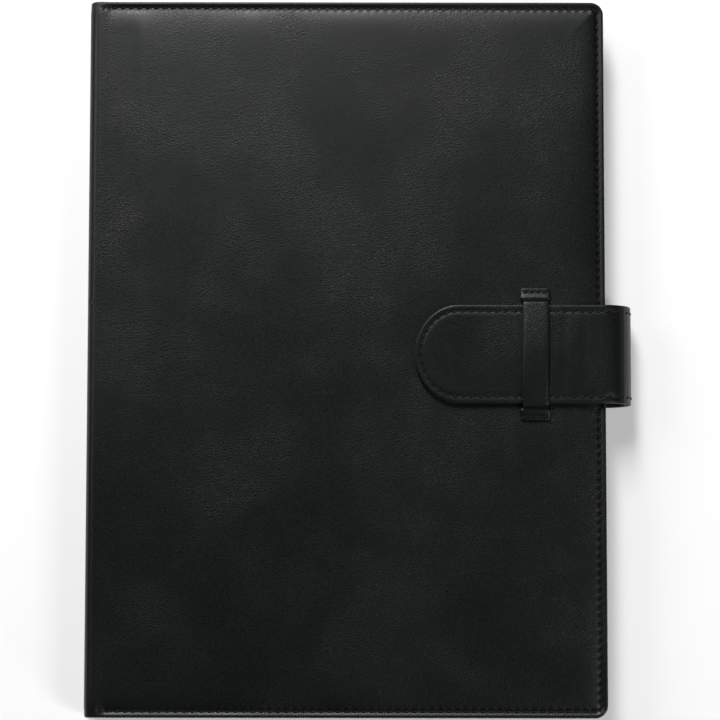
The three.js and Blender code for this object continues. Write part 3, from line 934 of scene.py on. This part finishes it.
foam_material, shader = new_material("foam", 0.95)
n = Nodes(foam_material.node_tree)
foam_cells = n.cells(n.place(), 1500)
# The foam is darker in the middle of each cell, where its bump makes a hollow: painted shade in the
# pores.
pore_painted_shade = n.spread(foam_cells, 0.1, 0.6, 0.0, 1.0)
n.join(n.mix(pore_painted_shade, (0.09, 0.09, 0.085, 1), (0.22, 0.22, 0.21, 1)), shader.inputs["Base Color"])
n.join(n.bump(foam_cells, 0.0002), shader.inputs["Normal"])

for side, panel in ((1, "front"), (-1, "back")):
    node = panel + "_padding"
    low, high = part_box(node)
    foam_depth = TOP_Z - high[2] if side > 0 else low[2]
    foam_thick = high[2] - low[2]

    def foam_point(x, y, share):
        edge = min(x - low[0], high[0] - x, y - low[1], high[1] - y)
        skive = 0.6 * foam_thick * (1 - smooth(0, FOAM_SKIVE, edge))
        swell = FOAM_SWELL * smooth(0, 0.03, edge)
        depth = foam_depth + foam_thick * share if share else foam_depth + skive - swell
        return x, y, height(side, depth)

    def beside_strap(x, y):
        return side > 0 or x < SLIT_X or not SLIT_LOW < y < SLIT_HIGH

    inner_low = [v + FOAM_SKIVE for v in low]
    inner_high = [v - FOAM_SKIVE for v in high]
    x_marks = marks([(low[0], inner_low[0], FOAM_STEP), (inner_low[0], SLIT_X, 0.005),
                     (SLIT_X, inner_high[0], 0.002), (inner_high[0], high[0], FOAM_STEP)])
    y_marks = marks([(low[1], inner_low[1], FOAM_STEP), (inner_low[1], SLIT_LOW, 0.005),
                     (SLIT_LOW, SLIT_HIGH, 0.004), (SLIT_HIGH, inner_high[1], 0.005),
                     (inner_high[1], high[1], FOAM_STEP)])
    piece = layered(panel + "_foam", x_marks, y_marks, lambda x, y: foam_point(x, y, 0),
                    lambda x, y: foam_point(x, y, 1), beside_strap)
    piece.data.materials.append(foam_material)
    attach(piece, panel + "_panel")
    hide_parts(node)


# Boards: greyboard stiffeners in the panels and a narrower one in the spine, cut square and glued
# between the foam and the lining.

board_material, shader = new_material("greyboard", 0.9)
n = Nodes(board_material.node_tree)
fibres = n.noise(n.vector("MULTIPLY", n.place(), (1, 0.25, 3)), 900, 4, 0.7)
n.join(n.mix(fibres, (0.16, 0.15, 0.135, 1), (0.36, 0.34, 0.31, 1)), shader.inputs["Base Color"])
n.join(n.bump(fibres, 0.00012), shader.inputs["Normal"])


def finished(node, material):
    """A carried-over node takes its finish."""
    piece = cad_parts[node]
    piece.data.materials.clear()
    piece.data.materials.append(material)


for node in ("front_board", "back_board", "spine_stiffener"):
    finished(node, board_material)


# Lining: plain-weave black cloth over the inside, one sheet for each half of the cover. Each runs
# from its panel's fore-edge, is pressed into the hinge gutter and goes up to the spine's middle.

CLOTH = 0.00045
WARP_PITCH = 0.00042
GUTTER_DEPTH = 0.0024          # the cloth's depth where it is pressed into the hinge
GUTTER_ROUND = 0.0006
CLOTH_CORNER = 0.0034
CLOTH_STEP = 0.006             # of the grid over the board
CORNER_STEP = 0.0007           # and at the corners

# Plain weave: warp and weft threads that pass over and under each other by turns
weave, given, results = node_group(
    "plain weave", [("Vector", "Vector"), ("Pitch", "Float", WARP_PITCH)],
    [("Height", "Float"), ("Warp on top", "Float")])
parts = weave.parts(given["Vector"])
thread_turns = weave.math("DIVIDE", math.pi, given["Pitch"])
waves = [weave.math("SINE", weave.math("MULTIPLY", parts[axis], thread_turns)) for axis in (0, 1)]
threads = [weave.math("ABSOLUTE", wave) for wave in waves]
crossing = weave.math("MULTIPLY", threads[0], threads[1])
uneven = weave.noise(given["Vector"], 420)
weave.join(weave.math("MULTIPLY_ADD", uneven, 0.35, crossing), results["Height"])
weave.join(weave.math("GREATER_THAN", weave.math("MULTIPLY", waves[0], waves[1]), 0.0),
           results["Warp on top"])

cloth_material, shader = new_material("lining_cloth", 0.85)
shader.inputs["Sheen Weight"].default_value = 0.15
shader.inputs["Specular IOR Level"].default_value = 0.3
n = Nodes(cloth_material.node_tree)
woven = n.group(weave, Vector=n.place())
yarn = n.mix(woven["Warp on top"], (0.010, 0.0105, 0.011, 1), (0.016, 0.0165, 0.0175, 1))
slub = n.noise(n.vector("MULTIPLY", n.place(), (1, 6, 1)), 160, 3)
n.join(n.mix(n.spread(slub, 0.45, 0.75, 0.0, 0.6), yarn, (0.026, 0.0265, 0.028, 1)),
       shader.inputs["Base Color"])
n.join(n.bump(woven["Height"], 0.00012), shader.inputs["Normal"])

lining_low, lining_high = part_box("back_lining")
spine_lining_low, spine_lining_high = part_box("spine_lining")
cloth_depth = (lining_low[2] + lining_high[2]) / 2
spine_cloth_x = (spine_lining_low[0] + spine_lining_high[0]) / 2


def cloth_path():
    """The back half's cloth in section, as (x, z): down the spine, pressed into the hinge gutter and
    out over the board, with each corner rounded."""
    corners = [(spine_cloth_x, TOP_Z / 2 - 0.00015), (spine_cloth_x, 0.0040),
               (spine_cloth_x + 0.0011, GUTTER_DEPTH), (spine_cloth_x + 0.0036, GUTTER_DEPTH),
               (spine_cloth_x + 0.0062, cloth_depth), (lining_high[0], cloth_depth)]
    corners = [Vector(c) for c in corners]
    path = [corners[0], (corners[0] + corners[1]) / 2]
    for before, corner, after in zip(corners, corners[1:], corners[2:]):
        start = corner + (before - corner).normalized() * GUTTER_ROUND
        end = corner + (after - corner).normalized() * GUTTER_ROUND
        for t in (0, 0.25, 0.5, 0.75, 1):
            path.append(start.lerp(corner, t).lerp(corner.lerp(end, t), t))
    fore = lining_high[0]
    far = marks([(path[-1].x + 0.003, fore - CLOTH_CORNER, CLOTH_STEP),
                 (fore - CLOTH_CORNER, fore, CORNER_STEP)])
    return path + [Vector((x, cloth_depth)) for x in far]


path = cloth_path()
cloth_length = sum([(b - a).length for a, b in zip(path, path[1:])])
headings = [(b - a).normalized() for a, b in zip(path, path[1:])]
headings = [(a + b).normalized() for a, b in zip(headings[:1] + headings, headings + headings[-1:])]

for side, panel in ((1, "front"), (-1, "back")):
    def cloth_point(k, y, lift):
        x = path[k].x - headings[k].y * lift
        z = path[k].y + headings[k].x * lift
        u, v = x - lining_high[0] + CLOTH_CORNER, abs(y) - lining_high[1] + CLOTH_CORNER
        if u > 0 and v > 0:
            u, v = round_corner(u, v, CLOTH_CORNER)
            x = lining_high[0] - CLOTH_CORNER + u
            y = math.copysign(lining_high[1] - CLOTH_CORNER + v, y)
        return x, y, height(side, z)

    low, high = lining_low[1], lining_high[1]
    y_marks = marks([(low, low + CLOTH_CORNER, CORNER_STEP),
                     (low + CLOTH_CORNER, high - CLOTH_CORNER, CLOTH_STEP),
                     (high - CLOTH_CORNER, high, CORNER_STEP)])
    piece = layered(panel + "_lining_cloth", list(range(len(path))), y_marks,
                    lambda k, y: cloth_point(k, y, CLOTH / 2),
                    lambda k, y: cloth_point(k, y, -CLOTH / 2))
    piece.data.materials.append(cloth_material)
    bend_over_hinge(piece, panel + "_panel")
    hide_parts(panel + "_lining")
    if side > 0:
        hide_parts("spine_lining")

# The panel's seam comes out again on the inside, through the lining
INNER_SEAM_START = 0.0105      # from the spine's face
for side, panel in ((1, "front"), (-1, "back")):
    z = height(side, lining_high[2] + 0.00004)
    flat = [(x, y, z) for x, y in panel_seam(SEAM_INSET, SPINE_X + INNER_SEAM_START)]
    inward = [(p, f, (0, 0, -side)) for p, f in spaced(flat)]
    piece = stitched(panel + "_inner_stitches", inward, 21)
    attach(piece, panel + "_panel")


# Sleeves: thin leather pockets, flesh side in, that the refill's card slips into. Each is sewn
# down on three sides through a flattened border, and its free edge is creased.

inner_leather = leather("inner_leather", *FLESH)
SLEEVE = 0.0005
SLEEVE_SEAM = 0.004            # width of the flattened border
SLEEVE_STITCHES = 0.0016       # from the sleeve's edge
SLEEVE_CREASE = 0.003
BORDER_DIP = 0.00016
CREASE_DEPTH = 0.00012
SLEEVE_ROUND = 0.00025
edge_marks = [0, 0.0003, 0.0007, 0.002, 0.0034, SLEEVE_SEAM - WALL, SLEEVE_SEAM + WALL,
              0.0046, 0.0052]
crease_marks = [0, 0.0003, 0.0007, 0.002, 0.0026, 0.003, 0.0034, 0.004]

for side, panel in ((1, "front"), (-1, "back")):
    low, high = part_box(panel + "_sleeve")
    sheet_depth = TOP_Z - low[2] if side > 0 else high[2]
    base_depth = TOP_Z - high[2] if side > 0 else low[2]

    def sleeve_edge(x, y):
        return min(high[0] - x, high[1] - y, y - low[1])

    def sleeve_face(x, y):
        edge = sleeve_edge(x, y)
        rounded = SLEEVE_ROUND * (1 - smooth(0, 0.0005, min(edge, x - low[0])))
        border = BORDER_DIP * (1 - smooth(SLEEVE_SEAM - 0.0006, SLEEVE_SEAM + 0.0012, edge))
        crease = CREASE_DEPTH * bump(x - low[0], SLEEVE_CREASE, 0.0004)
        wave = RIPPLE * noise.noise(Vector((x * 40, y * 30, side * 5.0)))
        return x, y, height(side, sheet_depth - rounded - border - crease + min(wave, 0))

    def sleeve_under(x, y):
        inside = smooth(SLEEVE_SEAM - WALL, SLEEVE_SEAM + WALL, sleeve_edge(x, y))
        return x, y, height(side, base_depth + (sheet_depth - SLEEVE - base_depth) * inside)

    x_marks = sorted([low[0] + d for d in crease_marks] + [high[0] - d for d in edge_marks]
                     + marks([(low[0] + 0.008, high[0] - 0.008, 0.004)]))
    y_marks = sorted([low[1] + d for d in edge_marks] + [high[1] - d for d in edge_marks]
                     + marks([(low[1] + 0.008, high[1] - 0.008, 0.004)]))
    piece = layered(panel + "_sleeve_leather", x_marks, y_marks, sleeve_face, sleeve_under)
    piece.data.materials.append(inner_leather)
    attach(piece, panel + "_panel")
    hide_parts(panel + "_sleeve")
    z = height(side, sheet_depth - 0.0002)
    left, right = low[0] + SLEEVE_STITCHES, high[0] - SLEEVE_STITCHES
    tail, head = low[1] + SLEEVE_STITCHES, high[1] - SLEEVE_STITCHES
    route = [(left, head, z), (right, head, z), (right, tail, z), (left, tail, z)]
    row = [p for a, b in zip(route, route[1:]) for p in spaced([a, b])]
    piece = stitched(panel + "_sleeve_stitches", [(p, f, (0, 0, -side)) for p, f in row], 31)
    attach(piece, panel + "_panel")


# Refill notebook: ivory leaves in folded gatherings between two cards of dark board. The leaves are
# never quite flush, so each one is laid with a little play, and the gatherings show at the spine.

card_material, shader = new_material("notebook_card", 0.75)
n = Nodes(card_material.node_tree)
flecks = n.noise(n.vector("MULTIPLY", n.place(), (1, 0.5, 1)), 1400, 4, 0.65)
n.join(n.mix(flecks, (0.014, 0.0145, 0.017, 1), (0.032, 0.033, 0.038, 1)),
       shader.inputs["Base Color"])
n.join(n.bump(flecks, 0.00005), shader.inputs["Normal"])
for node in ("notebook_front_card", "notebook_back_card"):
    finished(node, card_material)

LEAF = 0.00011
LEAVES_HALF = 15
GATHERING = 5
FOLD_STEP = 0.0002             # each leaf of a gathering is folded round the one inside it
LEAF_PLAY = 0.00018
LEAF_CORNER = 0.003
RULE_PITCH = 0.007
RULE_HALF = 0.00011            # half of a ruled line's width

paper_material, shader = new_material("writing_paper", 0.85)
n = Nodes(paper_material.node_tree)
pulp = n.noise(n.place(), 500, 4, 0.6)
paper = n.mix(pulp, (0.70, 0.64, 0.52, 1), (0.80, 0.75, 0.64, 1))
rule = n.math("PINGPONG", n.parts(n.place())[1], RULE_PITCH / 2)
ruled = n.math("LESS_THAN", rule, RULE_HALF)
ink = n.math("MULTIPLY", ruled, 0.45)
n.join(n.mix(ink, paper, (0.30, 0.36, 0.46, 1)), shader.inputs["Base Color"])
n.join(n.bump(pulp, 0.00002), shader.inputs["Normal"])


def leaf_mesh(length, width):
    """One leaf about its middle, with its two fore-edge corners rounded."""
    x, y = length / 2, width / 2
    inner_x, inner_y = x - LEAF_CORNER, y - LEAF_CORNER
    turn = [(LEAF_CORNER * math.cos(a), LEAF_CORNER * math.sin(a))
            for a in np.linspace(0, math.pi / 2, 5)]
    outline = [(-x, -y)] + [(inner_x + c, -inner_y - s) for c, s in reversed(turn)]
    outline += [(inner_x + c, inner_y + s) for c, s in turn] + [(-x, y)]
    count = len(outline)
    points = [(u, v, level) for level in (LEAF / 2, -LEAF / 2) for u, v in outline]
    faces = [tuple(range(count)), tuple(range(2 * count - 1, count - 1, -1))]
    faces += [(k, k + count, (k + 1) % count + count, (k + 1) % count) for k in range(count)]
    mesh = bpy.data.meshes.new("leaf")
    mesh.from_pydata(points, [], faces)
    mesh.update()
    return mesh


# A leaf laid on each point, each one a little out of line
leaves, given, results = node_group(
    "leaves",
    [("Points", "Geometry"), ("Leaf", "Object"), ("Play", "Float", LEAF_PLAY), ("Seed", "Int", 1),
     ("Material", "Material")],
    [("Leaves", "Geometry")], "GeometryNodeTree")
shift = leaves.made(leaves.add("FunctionNodeRandomValue", data_type="FLOAT_VECTOR"), {
    0: (-1, -1, 0), 1: (1, 1, 0), "Seed": given["Seed"]})
shift = leaves.made(leaves.add("ShaderNodeVectorMath", operation="SCALE"), {
    0: shift, "Scale": given["Play"]})
laid = leaves.made(leaves.add("GeometryNodeSetPosition"), {
    "Geometry": given["Points"], "Offset": shift})
laid = leaves.made(leaves.add("GeometryNodeInstanceOnPoints"), {
    "Points": laid,
    "Instance": leaves.made(leaves.add("GeometryNodeObjectInfo"), {"Object": given["Leaf"]},
                            "Geometry")})
laid = leaves.made(leaves.add("GeometryNodeRealizeInstances"), {0: laid})
laid = leaves.made(leaves.add("GeometryNodeSetMaterial"), {
    "Geometry": laid, "Material": given["Material"]})
leaves.join(laid, results[0])

leaves_low, leaves_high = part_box("notebook_back_leaves")
leaf_length = leaves_high[0] - leaves_low[0] - FOLD_STEP * (GATHERING // 2)
leaf = bpy.data.objects.new("leaf", leaf_mesh(leaf_length, leaves_high[1] - leaves_low[1]))
for node, body, seed in (("notebook_front_leaves", "front_leaves", 41),
                         ("notebook_back_leaves", "back_panel", 43)):
    low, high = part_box(node)
    pitch = (high[2] - low[2]) / LEAVES_HALF
    folds = [FOLD_STEP * (abs(k % GATHERING - GATHERING // 2) - 1) for k in range(LEAVES_HALF)]
    points = [((low[0] + high[0]) / 2 + fold / 2, 0, low[2] + pitch * (k + 0.5))
              for k, fold in enumerate(folds)]
    source = bpy.data.meshes.new(node + "_points")
    source.from_pydata(points, [], [])
    piece = grown(node.replace("notebook", "ruled"), source, leaves, Leaf=leaf, Seed=seed,
                  Material=paper_material)
    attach(piece, body)
    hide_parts(node)
bpy.data.objects.remove(leaf)
